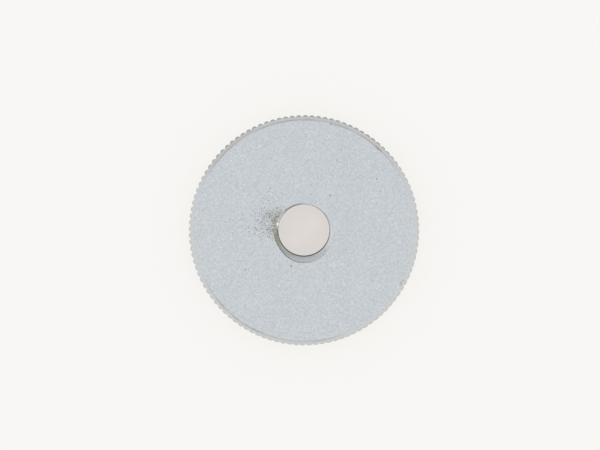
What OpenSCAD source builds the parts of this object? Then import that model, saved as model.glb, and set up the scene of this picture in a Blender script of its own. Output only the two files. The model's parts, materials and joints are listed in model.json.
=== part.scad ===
// Flat knurled nut: a turned steel disc with a straight-knurled rim and a tapped hole through its middle.
// It lies on its lower face, with its axis along Z and its origin in the middle of that face.

/* [Disc] */
// Diameter over the crests of the knurl
knurl_d = 34.925; // [24:0.025:60]
// Thickness from face to face
nut_h = 6.35; // [3:0.05:12]
// Width and height of the bevel round each face
bevel = 0.45; // [0.3:0.05:0.8]

/* [Knurl] */
// Number of teeth round the rim
tooth_count = 108; // [60:1:120]
// Depth of the grooves below the crests
groove_depth = 0.34; // [0.2:0.02:0.5]
// Angle between the two flanks of a groove, in degrees
groove_angle = 90; // [60:5:100]
// Height by which the rolled crests stand above the turned disc
crest_rise = 0.26; // [0.1:0.02:0.4]
// Length over which a crest rises to its full height at each end of the rim
crest_run = 0.5; // [0.2:0.05:0.6]
// Turn of the first tooth from the X axis, in degrees
tooth_turn = 2.65; // [0:0.05:6]

/* [Tapped hole] */
// Diameter of the hole between the crests of its thread
thread_minor_d = 7.94; // [4:0.01:12]

/* [Hidden] */
$fn = 216;
zinc_colour = [0.78, 0.80, 0.81];
// Distance by which a groove's cutter runs past the surfaces that it cuts
cut_over = 0.1;
crest_r = knurl_d / 2;
root_r = crest_r - groove_depth;
disc_r = crest_r - crest_rise;
face_r = disc_r - bevel;
hole_r = thread_minor_d / 2;
crest_z = bevel + crest_run;
tooth_pitch = 360 / tooth_count;
first_groove_turn = tooth_turn + tooth_pitch / 2;

// Section of the disc with the crests rolled up, from the wall of the hole to the rim
module disc_section() {
    polygon([
        [hole_r, 0],
        [face_r, 0],
        [disc_r, bevel],
        [crest_r, crest_z],
        [crest_r, nut_h - crest_z],
        [disc_r, nut_h - bevel],
        [face_r, nut_h],
        [hole_r, nut_h]
    ]);
}

// V-shaped groove along the rim, with its root on the X axis
module groove() {
    mouth_r = crest_r + cut_over;
    mouth_half_w = (mouth_r - root_r) * tan(groove_angle / 2);
    translate([0, 0, -cut_over])
        linear_extrude(height = nut_h + 2 * cut_over)
            polygon([
                [root_r, 0],
                [mouth_r, mouth_half_w],
                [mouth_r, -mouth_half_w]
            ]);
}

// The whole nut: the disc with a groove between each two teeth
module knurled_nut() {
    color(zinc_colour)
        difference() {
            rotate_extrude()
                disc_section();
            for (tooth = [0 : tooth_count - 1])
                rotate([0, 0, first_groove_turn + tooth * tooth_pitch])
                    groove();
        }
}

knurled_nut();
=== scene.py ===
"""Flat knurled nut in satin zinc plating, lying on pale paper and seen from straight above."""
import json
import math
import random
from functools import cached_property

import bpy
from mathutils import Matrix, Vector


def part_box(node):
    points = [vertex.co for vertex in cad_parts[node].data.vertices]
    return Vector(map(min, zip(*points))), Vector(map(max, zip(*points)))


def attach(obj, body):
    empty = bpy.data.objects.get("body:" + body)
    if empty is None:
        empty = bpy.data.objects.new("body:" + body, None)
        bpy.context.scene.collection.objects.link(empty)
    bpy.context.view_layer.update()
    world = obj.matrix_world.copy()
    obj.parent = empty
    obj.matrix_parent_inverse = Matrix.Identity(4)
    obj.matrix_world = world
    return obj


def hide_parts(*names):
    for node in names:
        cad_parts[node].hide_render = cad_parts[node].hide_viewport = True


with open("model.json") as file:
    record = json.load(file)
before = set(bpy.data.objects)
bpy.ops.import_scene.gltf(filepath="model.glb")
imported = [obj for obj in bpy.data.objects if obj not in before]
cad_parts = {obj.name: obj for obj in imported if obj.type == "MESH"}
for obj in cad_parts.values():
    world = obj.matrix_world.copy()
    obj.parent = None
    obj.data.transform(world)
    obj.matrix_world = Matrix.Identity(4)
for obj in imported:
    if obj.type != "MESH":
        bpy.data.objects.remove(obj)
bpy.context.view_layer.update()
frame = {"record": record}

# Units
MM = 0.001
TURN = 2 * math.pi

# Sizes that the frame gives
NODE = "knurled_nut"
low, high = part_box(NODE)
hole = next(m for m in frame["record"]["mounts"] if m["name"] == "tapped_hole")
CREST_R = (high.x - low.x) / 2
NUT_H = high.z - low.z
MINOR_R = hole["dims"]["r_mm"] * MM

# Knurl: rolled crests above the turned disc, and grooves that are deepest at the upper left
TOOTH_COUNT = 108
STEPS_PER_TOOTH = 16
TOOTH_PITCH = TURN / TOOTH_COUNT
TOOTH_TURN = math.radians(2.65)
GROOVE_DEPTH = 0.27 * MM
GROOVE_SWING = 0.075 * MM
GROOVE_SPREAD = 0.02 * MM
DEEPEST_ANGLE = math.radians(130)
GROOVE_HALF_ANGLE = math.radians(45)
CREST_ROUND = 0.16 * MM
ROOT_ROUND = 0.06 * MM
CREST_RISE = 0.26 * MM
CREST_RUN = 0.5 * MM
DISC_R = CREST_R - CREST_RISE

# Bevel round each face: the upper one was turned a little off the middle
BEVEL = 0.45 * MM
BEVEL_SHIFT = 0.07 * MM
FACE_R = DISC_R - BEVEL
EDGE_ROUND = 0.05 * MM
EDGE_LEAD = 4 * EDGE_ROUND
KNEE_GAP = 0.02 * MM

# Rounded corners: steps, largest share of a straight stretch that one takes up, and angle of a sharp edge
ARC_STEPS = 3
BEND_LIMIT = 0.45
SHARP_ANGLE = math.radians(40)

# Rings of points on each face: share of the face's radius, and points for each column of the thread
FACE_RINGS = ((0.975, 4), (0.94, 2), (0.86, 1), (0.65, 1), (0.45, 1))

# Bands of the rim's section that belong to each face
FACE_BANDS = 2

# Right-hand 3/8-16 thread: the shares are of the pitch
THREAD_PITCH = 25.4 * MM / 16
MAJOR_R = 4.85 * MM
ROOT_HALF_SHARE = 1 / 16
OPEN_HALF_SHARE = 3 / 8
THREAD_COLUMNS = 216
FLANK_STEPS = 3
SPARE_PITCHES = 2

# Damage to the thread: it breaks out through the upper face, is pushed in at the front and torn at the left
BREAKOUT_ANGLE = math.radians(163)
BURR = 0.065 * MM
BURR_ANGLE = math.radians(290)
TEAR = 0.56 * MM
TEAR_DEPTH = 0.71 * MM
TEAR_ANGLE = math.radians(195)
TEAR_HALF_ANGLE = math.radians(42)

# Rounded lip of the hole: each ring's depth below the face and growth outwards, as shares of the rounding
MOUTH_ROUND = 0.09 * MM
MOUTH_RINGS = ((0.4, 0.2), (0, 1), (0, 3))

# Sizes of the nut in mm, for its materials
TOP, CREST, DISC, FACE, HOLE = (size / MM for size in (NUT_H, CREST_R, DISC_R, FACE_R, MINOR_R))

# Round marks on the upper face and in the hole: place and radius in mm
PITS = (
    (11.00, 7.77, 0.16), (11.59, 5.92, 0.15), (3.91, 5.25, 0.18), (-5.34, 4.51, 0.15), (-1.92, -5.44, 0.20),
    (-8.87, -5.96, 0.15), (1.07, 6.82, 0.11), (1.07, 5.43, 0.10), (-5.97, 5.33, 0.11), (7.15, -3.49, 0.10),
    (5.67, 12.02, 0.11), (4.94, 10.56, 0.10), (4.11, 16.08, 0.24),
)
RIM_NICK = ((14.97, -7.58, 0.26), (14.70, -7.96, 0.27), (14.64, -8.28, 0.22))
RIM_SCUFF = (
    (10.85, 12.72, 0.20), (11.03, 12.51, 0.22), (11.20, 12.30, 0.30), (11.44, 12.12, 0.22),
    (11.67, 11.94, 0.20),
)
# Painted highlight: the glint on a small nick at the lip of the hole
GLINT = (-4.01, 0.96, 0.26)
CHIPS = ((3.20, -3.10, 0.20), (2.92, -3.63, 0.20))

# Marks that favour one side: direction in degrees, how far that way they start and are full, and strength
DARK_LINE_BEHIND = (92, 0.42, 0.75, 0.75)
DARK_LINE_FRONT = (248, 0.68, 0.93, 1.0)
# Painted shade on the tooth ends, strongest behind the nut
SHADED_TOOTH_ENDS = (93, 0.36, 0.85, 1.0)
SMEARED_BEVEL = (133, 0.92, 0.985, 0.45)
# Painted shade on the face by the lip of the hole, behind it
LIP_SHADE = (122, 0.92, 0.985, 0.8)
RUBBED_LIP = (160, 0.93, 0.99, 1.0)
# Painted shade on the lip of the hole, where the thread breaks out and behind it
BREAKOUT_SHADE = (215, 0.0, 0.9, 1.0)
SHADE_BEHIND_LIP = (116, 0.82, 0.98, 0.85)
# Painted light on the thread at the right
LIT_THREAD_SIDE = (352, 0.75, 1.0, 0.6)
OLIVE_THREAD = (188, 0.82, 0.98, 1.0)
# Painted shade in the thread's root at the lower left
ROOT_SHADE = (205, 0.75, 0.97, 0.35)
# Painted shade along the thread's crest, at the front and behind
CREST_SHADE_FRONT = (256, -0.8, 0.9, 1.0)
CREST_SHADE_BEHIND = (124, 0.8, 0.97, 0.8)

# Stain left of the hole, in mm: it fades outwards and to both sides, and the strip by the hole is wiped
STAIN_START = 4.7
STAIN_REACH = 1.25
STAIN_TAIL_REACH = 3.0
STAIN_TAIL_SHARE = 0.28
STAIN_MIDDLE = 1.05
STAIN_HALF_W = 2.2
STAIN_LEFT = (-2.4, -3.6)
STAIN_STRENGTH = 0.92
STAIN_WIPED_W = 0.7
STAIN_WIPED_SHARE = 0.4

# Two more patches of the stain: place, radius and strength
STAIN_PATCHES = ((-4.4, 2.35, 1.1, 0.12), (-4.6, 3.6, 3.2, 0.13))

# Soft marks: EDGE in a name is where a mark starts and where it is full, and RANGE what it lies between
SPOT_CORE = 0.45
SPECK_EDGE = (0.65, 0.4)
NEAR_TOP_EDGE = (TOP - 1.2, TOP - 0.8)
FIRST_TURN_EDGE = (TOP - 1.7, TOP - 1.3)

# What the stain is made of: a mottled film, and dark and pale specks whose chance grows with it
FILM_MOTTLE = 0.2
FILM_MOTTLE_RANGE = (0.3, 1.1)
FILM_EDGE = (0.0, 0.5)
OLIVE_FILM_EDGE = (STAIN_START + 0.7, STAIN_START - 0.1)
SPECK = 0.15
DARK_SPECK_CHANCE = (0.8, -0.005)
DARK_SPECK_RANGE = (0.55, 0.7)
PALE_SPECK_CHANCE = (0.5, -0.01)
PALE_SPECK_SHARE = 0.65
PALE_SPECK_SHIFT = (7.3, 3.1, 0)

# Dark line along the edge of the upper face, and strength of the scuff and the nick there
LINE_INSET = 0.02
LINE_EDGE = (0.17, 0.04)
LINE_RANGE = (0.08, 1.0)
LINE_PATCH = 3.0
LINE_PATCH_EDGE = (0.35, 0.6)
LINE_PATCH_RANGE = (0.45, 1.0)
EDGE_MARK_SHARE = 0.7

# Faces: grain, clouds, patches of pale flecks, and painted shade by the lip of the hole
GRAIN = 0.28
GRAIN_RANGE = (0.71, 1.29)
GRAIN_ROUGH_RANGE = (0.42, 0.60)
GRAIN_RELIEF = 0.012 * MM
CLOUD = 5.0
CLOUD_RANGE = (-0.02, 0.02)
FLECK = 0.25
FLECK_PATCH = 3.0
FLECK_PATCH_EDGE = (0.5, 0.75)
FLECK_CHANCE = 0.14
LIP_SHADE_EDGE = (HOLE + 0.28, HOLE + 0.12)
STAIN_ROUGH = 0.7

# Rim: streaks along the teeth, painted shade in the grooves and on the tooth ends, and the smear on the bevel
STREAK = 0.16
STREAK_STRETCH = (1, 1, 0.12)
STREAK_RANGE = (0.84, 1.16)
STREAK_ROUGH_RANGE = (0.36, 0.56)
STREAK_RELIEF = 0.015 * MM
RIM_GRAIN = 0.2
RIM_GRAIN_RANGE = (-0.1, 0.1)
GROOVE_EDGE = (CREST - 0.12, CREST - GROOVE_DEPTH / MM)
GROOVE_END_EDGE = (0.5, 0.9)
GROOVE_SHARE = 0.5
TOOTH_EDGE = (DISC - 0.08, DISC)
TOOTH_END_EDGE = (1.4, 0.7)
TOOTH_END_RANGE = (-0.5, 0.5)
TOOTH_TIP_EDGE = (CREST - 0.2, CREST - 0.05)
TOOTH_TIP_SHARE = 0.2
TOOTH_SHADE_RANGE = (0.06, 0.72)
SMEARED_STREAK_EDGE = (0.4, 0.6)

# Lip of the hole, with the rubbed metal and the painted glint that it shares with the thread
CHIPPING = 0.25
CHIPPING_RANGE = (0.5, 1.1)
CHIPPING_ROUGH_RANGE = (0.35, 0.65)
RUBBED_EDGE = (HOLE + 0.35, HOLE + 0.15)
RUBBED_RANGE = (-0.02, 0.02)
RUBBED_LIP_SHARE = 0.6
GLINT_ROUGH_RANGE = (1.0, 0.45)
HOLE_RELIEF = 0.02 * MM

# Thread: smeared, plated down to a depth and then bare, with painted shade deeper in, in its root and along
# its crest
SMEAR = 0.3
SMEAR_RANGE = (0.7, 1.3)
SMEAR_ROUGH_RANGE = (0.3, 0.6)
SMEAR_DEPTH_RANGE = (-0.12, 0.12)
BARE_EDGE = (0.35, 0.8)
DEEP_SHADE_EDGE = (0.85, 1.4)
THREAD_ROOT_EDGE = (HOLE + 0.35, HOLE + 0.7)
THREAD_CREST_EDGE = (HOLE + 0.08, HOLE - 0.01)
CREST_SHADE_FRONT_RANGE = (0.25, 0.9)
CHIP_SHARE = 0.5
RUBBED_THREAD_SHARE = 0.8

# Camera, in pixels of a 600 by 450 picture
PICTURE_W = 600
PICTURE_H = 450
NUT_CENTRE_PX = (304.0, 230.2)
NUT_RADIUS_PX = 115.55
CAMERA_HEIGHT = 347 * MM
CAMERA_CLIP = 10 * MM
SENSOR_W = 36.0

# Paper by the share of the sky that it sees, and the reach of that shade
PAPER_SHADES = (
    (0.20, (0.700, 0.655, 0.628)),
    (0.30, (0.716, 0.672, 0.651)),
    (0.53, (0.905, 0.888, 0.863)),
    (0.80, (0.935, 0.920, 0.900)),
    (1.00, (0.947, 0.930, 0.913)),
)
PAPER_COLOUR = PAPER_SHADES[-1][1]
SHADE_REACH = 30 * MM
SHADE_SAMPLES = 16
FLOOR_HALF_W = 2.0
FLOOR_GAP = 0.02 * MM

# Light of the dome: its level at the horizon, and what is added overhead, at both sides and behind
DOME_LEVEL = 0.75
DOME_OVERHEAD = 0.25
DOME_SIDES = 0.2
DOME_BEHIND = -0.09


def smooth_min(a, b, width):
    """The smaller of two values, with the corner between them rounded over the given width."""
    blend = max(width - abs(a - b), 0) / width
    return min(a, b) - blend * blend * width / 4


def smooth_max(a, b, width):
    return -smooth_min(-a, -b, width)


def bend(before, corner, after, radius):
    """Points of a rounded corner between two straight stretches of a section."""
    def along(start, end):
        share = min(radius / math.dist(start, end), BEND_LIMIT)
        return [s + (e - s) * share for s, e in zip(start, end)]

    first, last = along(corner, before), along(corner, after)
    points = []
    for step in range(ARC_STEPS + 1):
        t = step / ARC_STEPS
        points.append([
            (1 - t) ** 2 * a + 2 * t * (1 - t) * c + t * t * b
            for a, c, b in zip(first, corner, last)
        ])
    return points


class MeshData:
    """Vertices and faces of one mesh, with a material number for each face."""

    def __init__(self):
        self.points = []
        self.faces = []
        self.materials = []

    def point(self, radius, angle, z):
        self.points.append((radius * math.cos(angle), radius * math.sin(angle), z))
        return len(self.points) - 1

    def face(self, corners, material):
        """A face without its doubled corners. One that has shrunk to a line is left out."""
        kept = [c for i, c in enumerate(corners) if c != corners[i - 1]]
        if len(set(kept)) == len(kept) >= 3:
            self.faces.append(kept)
            self.materials.append(material)

    def join(self, outer, inner, material):
        """A band between two closed rings: the outer one has a whole number of points for each inner one."""
        ratio = len(outer) // len(inner)
        half = ratio // 2
        for i, start in enumerate(inner):
            end = inner[(i + 1) % len(inner)]
            arc = [outer[(i * ratio + k) % len(outer)] for k in range(ratio + 1)]
            for k in range(ratio):
                if k < half:
                    self.face([start, arc[k], arc[k + 1]], material)
                elif k == half:
                    self.face([start, arc[k], arc[k + 1], end], material)
                else:
                    self.face([end, arc[k], arc[k + 1]], material)


FACE_MATERIAL, RIM_MATERIAL, LIP_MATERIAL, THREAD_MATERIAL = range(4)


def groove_depths():
    """Depth of each groove: it swings once round the rim, with a small spread that never changes."""
    draw = random.Random(TOOTH_COUNT)
    depths = []
    for tooth in range(TOOTH_COUNT):
        angle = TOOTH_TURN + (tooth + 0.5) * TOOTH_PITCH
        swing = GROOVE_SWING * math.cos(angle - DEEPEST_ANGLE)
        depths.append(GROOVE_DEPTH + swing + draw.uniform(-GROOVE_SPREAD, GROOVE_SPREAD))
    return depths


def rim_radius(angle, depths):
    """Radius of the knurl at an angle: V grooves between flat crests, with the corners rounded."""
    turns = (angle - TOOTH_TURN) / TOOTH_PITCH
    tooth = math.floor(turns)
    from_groove = abs(turns - tooth - 0.5) * TOOTH_PITCH * CREST_R
    root = CREST_R - depths[tooth % TOOTH_COUNT]
    flank = root + from_groove / math.tan(GROOVE_HALF_ANGLE)
    return min(smooth_min(smooth_max(flank, root, ROOT_ROUND), CREST_R, CREST_ROUND), CREST_R)


def rim_section(radius, shift):
    """Half section of the rim at one angle, from the face to the wall: shift moves the face's edge out."""
    face_r = FACE_R + shift

    def below_face(r):
        return min(r, DISC_R) - face_r + max(r - DISC_R, 0) * CREST_RUN / CREST_RISE

    knee_r = min(DISC_R, radius - KNEE_GAP)
    face_in = [face_r - EDGE_LEAD, 0]
    face_edge = [face_r, 0]
    knee = [knee_r, below_face(knee_r)]
    crest_end = [radius, below_face(radius)]
    wall = [radius, crest_end[1] + EDGE_LEAD]
    points = [face_in]
    points += bend(face_in, face_edge, knee, EDGE_ROUND)
    points += bend(face_edge, knee, crest_end, EDGE_ROUND)
    points += bend(knee, crest_end, wall, EDGE_ROUND)
    points.append(wall)
    return points


def add_rim(mesh):
    """The bevelled and knurled rim. Gives its inner rings on the upper and lower face."""
    columns = TOOTH_COUNT * STEPS_PER_TOOTH
    depths = groove_depths()
    sections = []
    for column in range(columns):
        angle = column * TURN / columns
        radius = rim_radius(angle, depths)
        upper = [(r, NUT_H - drop) for r, drop in rim_section(radius, -BEVEL_SHIFT * math.sin(angle))]
        lower = [(r, drop) for r, drop in reversed(rim_section(radius, 0))]
        sections.append([mesh.point(r, angle, z) for r, z in upper + lower])
    rings = list(zip(*sections))
    for band, (upper, lower) in enumerate(zip(rings, rings[1:])):
        on_face = band < FACE_BANDS or band >= len(rings) - 1 - FACE_BANDS
        mesh.join(lower, upper, FACE_MATERIAL if on_face else RIM_MATERIAL)
    return rings[0], rings[-1]


def thread_shift(angle):
    """Height of the middle of the thread's groove at an angle, for one of its turns."""
    start = NUT_H - OPEN_HALF_SHARE * THREAD_PITCH
    return start + (angle - BREAKOUT_ANGLE) / TURN * THREAD_PITCH


def thread_radius(angle, z):
    """Radius of the threaded wall at an angle and a height."""
    phase = (z - thread_shift(angle)) / THREAD_PITCH
    from_middle = abs(phase - round(phase))
    share = (OPEN_HALF_SHARE - from_middle) / (OPEN_HALF_SHARE - ROOT_HALF_SHARE)
    share = min(max(share, 0), 1)
    crest_r = MINOR_R - BURR * (1 + math.cos(angle - BURR_ANGLE)) / 2
    from_tear = math.remainder(angle - TEAR_ANGLE, TURN) / TEAR_HALF_ANGLE
    down = (NUT_H - z) / TEAR_DEPTH
    torn = (max(1 - from_tear ** 4, 0) - down * down) * TEAR
    return max(crest_r + (MAJOR_R - crest_r) * share, MINOR_R + torn)


def thread_rows():
    """Places of the rows within one pitch, from the middle of the groove, as shares of the pitch."""
    flank = OPEN_HALF_SHARE - ROOT_HALF_SHARE
    rising = [ROOT_HALF_SHARE + flank * k / FLANK_STEPS for k in range(FLANK_STEPS + 1)]
    return [-s for s in reversed(rising)] + rising + [0.5]


def add_thread(mesh):
    """The threaded wall, cut off just inside both faces. Gives its upper and lower ring."""
    rows = thread_rows()
    pitches = math.ceil(NUT_H / THREAD_PITCH) + 2 * SPARE_PITCHES
    first = math.floor(-thread_shift(0) / THREAD_PITCH) - SPARE_PITCHES
    heights = [(first + k + row) * THREAD_PITCH for k in range(pitches) for row in rows]
    bottom, top = MOUTH_ROUND, NUT_H - MOUTH_ROUND
    lower_ring, upper_ring, grid = [], [], []
    for column in range(THREAD_COLUMNS):
        angle = column * TURN / THREAD_COLUMNS
        lower_ring.append(mesh.point(thread_radius(angle, bottom), angle, bottom))
        upper_ring.append(mesh.point(thread_radius(angle, top), angle, top))
        line = []
        for height in heights:
            z = height + thread_shift(angle)
            if z <= bottom:
                line.append(lower_ring[-1])
            elif z >= top:
                line.append(upper_ring[-1])
            else:
                line.append(mesh.point(thread_radius(angle, z), angle, z))
        grid.append(line)
    last = len(heights) - 1
    for column in range(THREAD_COLUMNS):
        here, there = grid[column], grid[(column + 1) % THREAD_COLUMNS]
        shift = len(rows) if column == THREAD_COLUMNS - 1 else 0
        for row in range(-shift, last):
            a, b = max(row, 0), max(row + 1, 0)
            c, d = min(row + 1 + shift, last), min(row + shift, last)
            mesh.face([here[a], here[b], there[c], there[d]], THREAD_MATERIAL)
    return upper_ring, lower_ring


def add_mouth(mesh, thread_ring, face_z, inward):
    """Rings of the lip between the threaded wall and one face: inward is the way into the hole, 1 or -1."""
    rings = [thread_ring]
    for depth, grow in MOUTH_RINGS:
        z = face_z + inward * depth * MOUTH_ROUND
        ring = []
        for column, start in enumerate(thread_ring):
            x, y, _ = mesh.points[start]
            radius = math.hypot(x, y) + grow * MOUTH_ROUND
            ring.append(mesh.point(radius, column * TURN / THREAD_COLUMNS, z))
        rings.append(ring)
    return rings


def add_face(mesh, rim_ring, thread_ring, face_z, inward):
    """One flat face from the rim to the lip of the hole, with fewer points on its inner rings."""
    first = len(mesh.faces)
    mouth = add_mouth(mesh, thread_ring, face_z, inward)
    rings = [rim_ring]
    for share, points_per_column in FACE_RINGS:
        count = THREAD_COLUMNS * points_per_column
        rings.append([mesh.point(FACE_R * share, k * TURN / count, face_z) for k in range(count)])
    rings += [mouth[3], mouth[2]]
    for outer, inner in zip(rings, rings[1:]):
        mesh.join(outer, inner, FACE_MATERIAL)
    mesh.join(mouth[2], mouth[1], LIP_MATERIAL)
    mesh.join(mouth[1], mouth[0], LIP_MATERIAL)
    if inward > 0:
        for corners in mesh.faces[first:]:
            corners.reverse()


def build_nut():
    mesh = MeshData()
    rim_top, rim_bottom = add_rim(mesh)
    thread_top, thread_bottom = add_thread(mesh)
    add_face(mesh, rim_top, thread_top, NUT_H, -1)
    add_face(mesh, rim_bottom, thread_bottom, 0, 1)
    data = bpy.data.meshes.new("knurled_nut_body")
    data.from_pydata(mesh.points, [], mesh.faces)
    data.polygons.foreach_set("material_index", mesh.materials)
    data.polygons.foreach_set("use_smooth", [True] * len(mesh.faces))
    data.validate()
    data.set_sharp_from_angle(angle=SHARP_ANGLE)
    nut = bpy.data.objects.new("knurled_nut_body", data)
    bpy.context.scene.collection.objects.link(nut)
    return nut


class Graph:
    """Nodes of one material or world. A plain value may stand wherever a socket may."""

    def __init__(self, owner):
        owner.use_nodes = True
        self.nodes = owner.node_tree.nodes
        self.links = owner.node_tree.links

    def plug(self, socket, value):
        if isinstance(value, bpy.types.NodeSocket):
            self.links.new(value, socket)
        else:
            socket.default_value = value

    def node(self, kind, inputs, **settings):
        made = self.nodes.new(kind)
        for name, value in settings.items():
            setattr(made, name, value)
        for socket, value in inputs.items():
            self.plug(made.inputs[socket], value)
        return made

    def math(self, operation, *values, clamp=False):
        inputs = dict(enumerate(values))
        return self.node("ShaderNodeMath", inputs, operation=operation, use_clamp=clamp).outputs["Value"]

    def product(self, *values):
        result = values[0]
        for value in values[1:]:
            result = self.math("MULTIPLY", result, value)
        return result

    def vector(self, operation, *values):
        return self.node("ShaderNodeVectorMath", dict(enumerate(values)), operation=operation)

    def split(self, vector):
        return self.node("ShaderNodeSeparateXYZ", {0: vector}).outputs

    def rise(self, value, start, end):
        """0 up to the start and 1 from the end on, with a smooth change between them."""
        inputs = {"Value": value, "From Min": start, "From Max": end}
        return self.node("ShaderNodeMapRange", inputs, interpolation_type="SMOOTHSTEP").outputs["Result"]

    def spread(self, value, start, end):
        """A value between 0 and 1 laid out between two others."""
        inputs = {"Value": value, "To Min": start, "To Max": end}
        return self.node("ShaderNodeMapRange", inputs).outputs["Result"]

    def noise(self, vector, size, detail=2.0):
        """Cloudy noise round 0.5, with features of about the given size in mm."""
        inputs = {"Vector": vector, "Scale": 1 / size, "Detail": detail}
        return self.node("ShaderNodeTexNoise", inputs).outputs["Fac"]

    def specks(self, vector, size, chance):
        """Round specks, of which only the given share is there."""
        cells = self.node("ShaderNodeTexVoronoi", {"Vector": vector, "Scale": 1 / size})
        draw = self.node("ShaderNodeSeparateColor", {0: cells.outputs["Color"]}).outputs[0]
        there = self.math("LESS_THAN", draw, chance)
        return self.product(there, self.rise(cells.outputs["Distance"], *SPECK_EDGE))

    def mix(self, share, first, second):
        inputs = {0: share, 6: first, 7: second}
        return self.node("ShaderNodeMix", inputs, data_type="RGBA").outputs[2]

    def tone(self, colour, level):
        """A colour made lighter or darker by a level."""
        inputs = {0: 1.0, 6: colour, 7: level}
        return self.node("ShaderNodeMix", inputs, data_type="RGBA", blend_type="MULTIPLY").outputs[2]

    def bump(self, height, depth):
        inputs = {"Height": height, "Strength": 1.0, "Distance": depth}
        return self.node("ShaderNodeBump", inputs).outputs["Normal"]

    def turned_up(self, share, normal):
        """A normal turned towards straight up by a share."""
        inputs = {0: share, 4: normal, 5: (0, 0, 1)}
        return self.node("ShaderNodeMix", inputs, data_type="VECTOR").outputs[1]


class Metal(Graph):
    """Nodes of one metal material of the nut. Places are in mm, from the middle of the lower face."""

    def __init__(self, name):
        self.material = bpy.data.materials.new(name)
        super().__init__(self.material)
        self.shader = self.nodes["Principled BSDF"]
        self.shader.inputs["Metallic"].default_value = 1

    @cached_property
    def place(self):
        coords = self.node("ShaderNodeTexCoord", {})
        inputs = {0: coords.outputs["Object"], "Scale": 1 / MM}
        return self.node("ShaderNodeVectorMath", inputs, operation="SCALE").outputs["Vector"]

    @cached_property
    def flat(self):
        """The place without its height."""
        return self.vector("MULTIPLY", self.place, (1, 1, 0)).outputs["Vector"]

    @cached_property
    def radius(self):
        return self.vector("LENGTH", self.flat).outputs["Value"]

    @cached_property
    def outward(self):
        return self.vector("NORMALIZE", self.flat).outputs["Vector"]

    @cached_property
    def height(self):
        return self.split(self.place)["Z"]

    @cached_property
    def depth(self):
        """Depth below the nearer face."""
        return self.math("MINIMUM", self.height, self.math("SUBTRACT", TOP, self.height))

    @cached_property
    def near_top(self):
        """1 by the upper face and 0 further down."""
        return self.rise(self.height, *NEAR_TOP_EDGE)

    def towards(self, side, ragged=None):
        """Strength of a mark that favours one side of the nut. A ragged value makes its edge uneven."""
        degrees, start, full, strength = side
        direction = (math.cos(math.radians(degrees)), math.sin(math.radians(degrees)), 0)
        facing = self.vector("DOT_PRODUCT", self.outward, direction).outputs["Value"]
        if ragged is not None:
            facing = self.math("ADD", facing, ragged)
        return self.product(self.rise(facing, start, full), strength)

    def spot(self, x, y, radius):
        distance = self.vector("DISTANCE", self.flat, (x, y, 0)).outputs["Value"]
        return self.rise(distance, radius, SPOT_CORE * radius)

    def marked(self, colour, marks, share, ink):
        """A colour with round marks in another one, each given by its place and radius."""
        for mark in marks:
            colour = self.mix(self.product(self.spot(*mark), share), colour, ink)
        return colour

    def finished(self, colour, rough, normal):
        """The material, with these three on its shader."""
        for socket, value in (("Base Color", colour), ("Roughness", rough), ("Normal", normal)):
            self.plug(self.shader.inputs[socket], value)
        return self.material


def rgba(red, green, blue):
    return red, green, blue, 1.0


ZINC = rgba(0.602, 0.637, 0.664)
ZINC_RIM = rgba(0.660, 0.678, 0.686)
ZINC_THREAD = rgba(0.560, 0.590, 0.615)
# Dark steel for chips in the thread, and for the painted shade by the lip and on the tooth ends
CHIP_AND_SHADE_STEEL = rgba(0.340, 0.332, 0.315)
# Grey for the dark line along the face's edge, the painted shade in the knurl's grooves and the smear on the
# bevel
EDGE_GROOVE_SMEAR_GREY = rgba(0.420, 0.435, 0.435)
STAIN_FILM = rgba(0.400, 0.420, 0.420)
OILY_FILM = rgba(0.400, 0.410, 0.345)
STAIN_DARK = rgba(0.150, 0.155, 0.135)
STAIN_PALE = rgba(0.780, 0.795, 0.760)
PIT = rgba(0.340, 0.350, 0.355)
# Painted highlight: near-white for the glint
GLINT_HIGHLIGHT = rgba(0.900, 0.897, 0.865)
BURNISHED = rgba(0.820, 0.810, 0.740)
# Pale flecks on the face, and the painted light on the thread at the right
FLECK_AND_LIT_ZINC = rgba(0.740, 0.760, 0.775)
NICK = rgba(0.400, 0.435, 0.400)
OLIVE_STEEL = rgba(0.380, 0.380, 0.320)
GREY_STEEL = rgba(0.455, 0.465, 0.460)
# Painted shade: dark tone put on the lip and in the thread where shade falls
PAINTED_SHADE = rgba(0.070, 0.072, 0.066)


def edge_line(metal):
    """Darker line along the edge of the upper face, behind and at the front left, broken here and there."""
    from_middle = metal.vector("DISTANCE", metal.flat, (0, -BEVEL_SHIFT / MM, 0)).outputs["Value"]
    off_line = metal.math("ABSOLUTE", metal.math("SUBTRACT", from_middle, FACE - LINE_INSET))
    sides = metal.math("MAXIMUM", metal.towards(DARK_LINE_BEHIND), metal.towards(DARK_LINE_FRONT))
    strength = metal.spread(sides, *LINE_RANGE)
    patches = metal.rise(metal.noise(metal.place, LINE_PATCH), *LINE_PATCH_EDGE)
    broken = metal.spread(patches, *LINE_PATCH_RANGE)
    return metal.product(metal.rise(off_line, *LINE_EDGE), strength, broken, metal.near_top)


def edge_marks(metal, colour):
    """A colour with the scuff and the nick at the edge of the upper face."""
    share = metal.product(metal.near_top, EDGE_MARK_SHARE)
    colour = metal.marked(colour, RIM_SCUFF, share, PIT)
    return metal.marked(colour, RIM_NICK, share, NICK)


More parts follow.
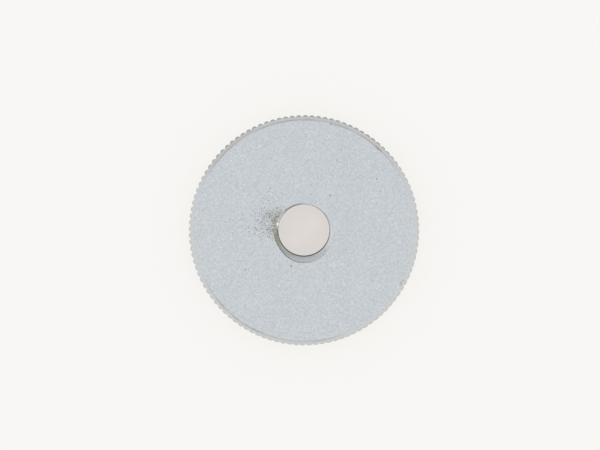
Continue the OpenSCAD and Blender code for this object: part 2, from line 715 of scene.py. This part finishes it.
def stain_strength(metal):
    """Dirt on the upper face, round the left side of the hole, with a faint tail out to the left."""
    x, y, _ = metal.split(metal.place)
    away = metal.math("MAXIMUM", metal.math("SUBTRACT", metal.radius, STAIN_START), 0.0)
    near = metal.math("EXPONENT", metal.math("DIVIDE", away, -STAIN_REACH))
    tail = metal.math("EXPONENT", metal.math("DIVIDE", away, -STAIN_TAIL_REACH))
    along = metal.math("MULTIPLY_ADD", tail, STAIN_TAIL_SHARE, metal.product(near, 1 - STAIN_TAIL_SHARE))
    across = metal.math("DIVIDE", metal.math("SUBTRACT", y, STAIN_MIDDLE), STAIN_HALF_W)
    fall = metal.math("EXPONENT", metal.product(across, across, across, across, -1.0))
    strength = metal.product(along, fall, STAIN_STRENGTH)
    for *patch, share in STAIN_PATCHES:
        strength = metal.math("ADD", strength, metal.product(metal.spot(*patch), share))
    unwiped = metal.rise(metal.radius, STAIN_START - STAIN_WIPED_W, STAIN_START)
    wiped = metal.spread(unwiped, STAIN_WIPED_SHARE, 1.0)
    return metal.product(strength, wiped, metal.rise(x, *STAIN_LEFT), metal.near_top)


def stained(metal, colour, stain):
    """A colour under the stain: a mottled film, olive by the hole, with dark specks and a few pale ones."""
    mottle = metal.spread(metal.noise(metal.place, FILM_MOTTLE), *FILM_MOTTLE_RANGE)
    film = metal.mix(metal.rise(metal.radius, *OLIVE_FILM_EDGE), STAIN_FILM, OILY_FILM)
    colour = metal.mix(metal.product(stain, metal.rise(stain, *FILM_EDGE), mottle), colour, film)
    chance = metal.math("MULTIPLY_ADD", stain, *DARK_SPECK_CHANCE)
    dark = metal.product(metal.specks(metal.place, SPECK, chance), metal.spread(stain, *DARK_SPECK_RANGE))
    colour = metal.mix(dark, colour, STAIN_DARK)
    moved = metal.vector("ADD", metal.place, PALE_SPECK_SHIFT).outputs["Vector"]
    chance = metal.math("MULTIPLY_ADD", stain, *PALE_SPECK_CHANCE)
    pale = metal.product(metal.specks(moved, SPECK, chance), PALE_SPECK_SHARE)
    return metal.mix(pale, colour, STAIN_PALE)


def rubbed_bright(metal, uneven):
    """Share of bright rubbed metal close to the hole at its upper left, with an uneven edge."""
    close = metal.rise(metal.radius, *RUBBED_EDGE)
    return metal.product(metal.towards(RUBBED_LIP, metal.spread(uneven, *RUBBED_RANGE)), close)


def with_glint(metal, colour, rough, uneven, there):
    """A material of the hole, finished with its painted glint: a near-white highlight on a small nick, smooth
    and with its normal turned straight up.
    """
    # Painted highlight: the glint, near-white, smooth and turned up to catch the light overhead
    glint = metal.product(metal.spot(*GLINT), there)
    colour = metal.mix(glint, colour, GLINT_HIGHLIGHT)
    rough = metal.product(rough, metal.spread(glint, *GLINT_ROUGH_RANGE))
    return metal.finished(colour, rough, metal.turned_up(glint, metal.bump(uneven, HOLE_RELIEF)))


def zinc_face():
    """Satin zinc with fine grain, pale flecks and pits, a dark line, a scuff and a nick at the rim, dirt by
    the hole, painted shade by its lip and the painted glint.
    """
    metal = Metal("zinc_face")
    grain = metal.noise(metal.place, GRAIN, detail=3)
    cloud = metal.noise(metal.place, CLOUD)
    level = metal.math("ADD", metal.spread(grain, *GRAIN_RANGE), metal.spread(cloud, *CLOUD_RANGE))
    colour = metal.tone(ZINC, level)
    patches = metal.rise(metal.noise(metal.place, FLECK_PATCH), *FLECK_PATCH_EDGE)
    flecks = metal.specks(metal.place, FLECK, metal.product(patches, FLECK_CHANCE))
    colour = metal.mix(flecks, colour, FLECK_AND_LIT_ZINC)
    colour = metal.mix(edge_line(metal), colour, EDGE_GROOVE_SMEAR_GREY)
    # Painted shade on the face by the lip of the hole, behind it
    by_lip = metal.rise(metal.radius, *LIP_SHADE_EDGE)
    lip_shading = metal.product(by_lip, metal.towards(LIP_SHADE), metal.near_top)
    colour = metal.mix(lip_shading, colour, CHIP_AND_SHADE_STEEL)
    stain = stain_strength(metal)
    colour = stained(metal, colour, stain)
    colour = metal.marked(colour, PITS, metal.near_top, PIT)
    colour = edge_marks(metal, colour)
    # Painted highlight: the glint where it reaches the face
    colour = metal.marked(colour, (GLINT,), metal.near_top, GLINT_HIGHLIGHT)
    rough = metal.spread(grain, *GRAIN_ROUGH_RANGE)
    rough = metal.math("MAXIMUM", rough, metal.product(stain, STAIN_ROUGH))
    return metal.finished(colour, rough, metal.bump(grain, GRAIN_RELIEF))


def zinc_rim():
    """Zinc on the bevels and the knurl: greyer than the faces, streaked along the teeth, with painted shade
    in the grooves and on the tooth ends.
    """
    metal = Metal("zinc_rim")
    stretched = metal.vector("MULTIPLY", metal.place, STREAK_STRETCH).outputs["Vector"]
    streak = metal.noise(stretched, STREAK, detail=3)
    grain = metal.noise(metal.place, RIM_GRAIN)
    level = metal.math("ADD", metal.spread(streak, *STREAK_RANGE), metal.spread(grain, *RIM_GRAIN_RANGE))
    colour = metal.tone(ZINC_RIM, level)
    # Painted shade deeper in the knurl's grooves
    groove = metal.rise(metal.radius, *GROOVE_EDGE)
    groove = metal.product(groove, metal.rise(metal.depth, *GROOVE_END_EDGE), GROOVE_SHARE)
    colour = metal.mix(groove, colour, EDGE_GROOVE_SMEAR_GREY)
    # Painted shade on the tooth ends, strongest behind the nut, with a faint darkening of the tips all round
    uneven = metal.math("ADD", metal.depth, metal.spread(streak, *TOOTH_END_RANGE))
    tooth_end = metal.product(metal.rise(metal.radius, *TOOTH_EDGE), metal.rise(uneven, *TOOTH_END_EDGE))
    tip = metal.product(metal.rise(metal.radius, *TOOTH_TIP_EDGE), TOOTH_TIP_SHARE)
    shade_share = metal.spread(metal.towards(SHADED_TOOTH_ENDS), *TOOTH_SHADE_RANGE)
    colour = metal.mix(metal.product(tooth_end, metal.math("MAXIMUM", shade_share, tip)), colour, CHIP_AND_SHADE_STEEL)
    colour = metal.mix(edge_line(metal), colour, EDGE_GROOVE_SMEAR_GREY)
    smeared = metal.product(metal.towards(SMEARED_BEVEL), metal.near_top)
    smeared = metal.product(smeared, metal.rise(streak, *SMEARED_STREAK_EDGE))
    colour = metal.mix(smeared, colour, EDGE_GROOVE_SMEAR_GREY)
    colour = edge_marks(metal, colour)
    rough = metal.spread(streak, *STREAK_ROUGH_RANGE)
    return metal.finished(colour, rough, metal.bump(streak, STREAK_RELIEF))


def lip_shade_and_wear():
    """Edge of the hole: plated, with painted shade where the thread breaks out and behind, rubbed bright in
    between, and with the painted glint.
    """
    metal = Metal("lip_shade_and_wear")
    chipped = metal.noise(metal.place, CHIPPING, detail=3)
    # Painted shade on the lip, where the thread breaks out and behind the hole
    shade_share = metal.math("MAXIMUM", metal.towards(BREAKOUT_SHADE), metal.towards(SHADE_BEHIND_LIP))
    shade_share = metal.product(shade_share, metal.near_top, metal.spread(chipped, *CHIPPING_RANGE))
    colour = metal.mix(shade_share, ZINC_RIM, PAINTED_SHADE)
    colour = stained(metal, colour, stain_strength(metal))
    rubbed = metal.product(rubbed_bright(metal, chipped), metal.near_top, RUBBED_LIP_SHARE)
    colour = metal.mix(rubbed, colour, BURNISHED)
    rough = metal.spread(chipped, *CHIPPING_ROUGH_RANGE)
    return with_glint(metal, colour, rough, chipped, metal.near_top)


def thread_steel():
    """Thread: plated near both faces and made lighter at the right with painted light, then grey or olive,
    with painted shade deep in, in its root and along its crest.
    """
    metal = Metal("thread_steel")
    smear = metal.noise(metal.place, SMEAR, detail=3)
    depth = metal.math("ADD", metal.depth, metal.spread(smear, *SMEAR_DEPTH_RANGE))
    # Painted light: the plated thread is made lighter towards the right
    plated = metal.mix(metal.towards(LIT_THREAD_SIDE), ZINC_THREAD, FLECK_AND_LIT_ZINC)
    bare = metal.mix(metal.towards(OLIVE_THREAD), GREY_STEEL, OLIVE_STEEL)
    colour = metal.mix(metal.rise(depth, *BARE_EDGE), plated, bare)
    # Painted shade deeper in the hole
    colour = metal.mix(metal.rise(depth, *DEEP_SHADE_EDGE), colour, PAINTED_SHADE)
    colour = metal.tone(colour, metal.spread(smear, *SMEAR_RANGE))
    # Painted shade in the thread's root at the lower left, under the overhanging flank
    root = metal.rise(metal.radius, *THREAD_ROOT_EDGE)
    colour = metal.mix(metal.product(root, metal.towards(ROOT_SHADE)), colour, PAINTED_SHADE)
    # Painted shade along the thread's crest at the edge of the hole, strongest at the front and behind
    crest = metal.rise(metal.radius, *THREAD_CREST_EDGE)
    crest_shade = metal.spread(metal.towards(CREST_SHADE_FRONT), *CREST_SHADE_FRONT_RANGE)
    crest_shade = metal.math("MAXIMUM", crest_shade, metal.towards(CREST_SHADE_BEHIND))
    colour = metal.mix(metal.product(crest, crest_shade), colour, PAINTED_SHADE)
    first_turn = metal.rise(metal.height, *FIRST_TURN_EDGE)
    colour = metal.marked(colour, CHIPS, metal.product(first_turn, CHIP_SHARE), CHIP_AND_SHADE_STEEL)
    colour = stained(metal, colour, stain_strength(metal))
    rubbed = metal.product(rubbed_bright(metal, smear), first_turn, RUBBED_THREAD_SHARE)
    colour = metal.mix(rubbed, colour, BURNISHED)
    rough = metal.spread(smear, *SMEAR_ROUGH_RANGE)
    return with_glint(metal, colour, rough, smear, first_turn)


def paper():
    """Pale paper in its own colour, shaded by the share of the sky that it sees, and clear from below."""
    material = bpy.data.materials.new("paper")
    graph = Graph(material)
    graph.nodes.clear()
    sky = graph.node("ShaderNodeAmbientOcclusion", {"Distance": SHADE_REACH}, samples=SHADE_SAMPLES)
    ramp = graph.node("ShaderNodeValToRGB", {"Fac": sky.outputs["AO"]})
    stops = ramp.color_ramp.elements
    while len(stops) < len(PAPER_SHADES):
        stops.new(1.0)
    for stop, (share, colour) in zip(stops, PAPER_SHADES):
        stop.position = share
        stop.color = rgba(*colour)
    shown = graph.node("ShaderNodeEmission", {"Color": ramp.outputs["Color"], "Strength": 1.0})
    lit = graph.node("ShaderNodeBsdfDiffuse", {"Color": rgba(*PAPER_COLOUR)})
    ray = graph.node("ShaderNodeLightPath", {}).outputs
    seen = graph.math("ADD", ray["Is Camera Ray"], ray["Is Glossy Ray"], clamp=True)
    seen = graph.math("ADD", seen, ray["Is Transmission Ray"], clamp=True)
    both = graph.node("ShaderNodeMixShader", {0: seen, 1: lit.outputs["BSDF"], 2: shown.outputs["Emission"]})
    below = graph.node("ShaderNodeNewGeometry", {}).outputs["Backfacing"]
    clear = graph.node("ShaderNodeBsdfTransparent", {})
    sided = graph.node("ShaderNodeMixShader", {0: below, 1: both.outputs["Shader"], 2: clear.outputs["BSDF"]})
    graph.node("ShaderNodeOutputMaterial", {"Surface": sided.outputs["Shader"]})
    return material


def add_floor():
    w = FLOOR_HALF_W
    data = bpy.data.meshes.new("floor")
    data.from_pydata([(-w, -w, 0), (w, -w, 0), (w, w, 0), (-w, w, 0)], [], [(0, 1, 2, 3)])
    floor = bpy.data.objects.new("floor", data)
    floor.location.z = -FLOOR_GAP
    bpy.context.scene.collection.objects.link(floor)
    data.materials.append(paper())


def add_camera():
    """Camera straight above, with the nut's place and size in the picture as in the photograph."""
    px_per_m = NUT_RADIUS_PX / CREST_R
    data = bpy.data.cameras.new("camera")
    data.sensor_width = SENSOR_W
    data.lens = px_per_m * CAMERA_HEIGHT * SENSOR_W / PICTURE_W
    data.clip_start = CAMERA_CLIP
    camera = bpy.data.objects.new("camera", data)
    camera.location = (
        (PICTURE_W / 2 - NUT_CENTRE_PX[0]) / px_per_m,
        (NUT_CENTRE_PX[1] - PICTURE_H / 2) / px_per_m,
        NUT_H + CAMERA_HEIGHT,
    )
    bpy.context.scene.collection.objects.link(camera)
    bpy.context.scene.camera = camera


def add_light():
    """Soft white dome: a little brighter overhead, at both sides and at the front than behind the nut."""
    world = bpy.data.worlds.new("soft_dome")
    graph = Graph(world)
    background = graph.nodes["Background"]
    background.inputs["Color"].default_value = rgba(1, 1, 1)
    x, y, z = graph.split(graph.node("ShaderNodeTexCoord", {}).outputs["Generated"])
    level = graph.math("MULTIPLY_ADD", z, DOME_OVERHEAD, DOME_LEVEL)
    level = graph.math("MULTIPLY_ADD", graph.math("MULTIPLY", x, x), DOME_SIDES, level)
    level = graph.math("MULTIPLY_ADD", y, DOME_BEHIND, level)
    graph.plug(background.inputs["Strength"], level)
    bpy.context.scene.world = world


add_camera()
add_light()
add_floor()
nut = build_nut()
for material in (zinc_face(), zinc_rim(), lip_shade_and_wear(), thread_steel()):
    nut.data.materials.append(material)
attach(nut, "root")
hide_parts(NODE)

bpy.context.scene.view_settings.view_transform = "Standard"
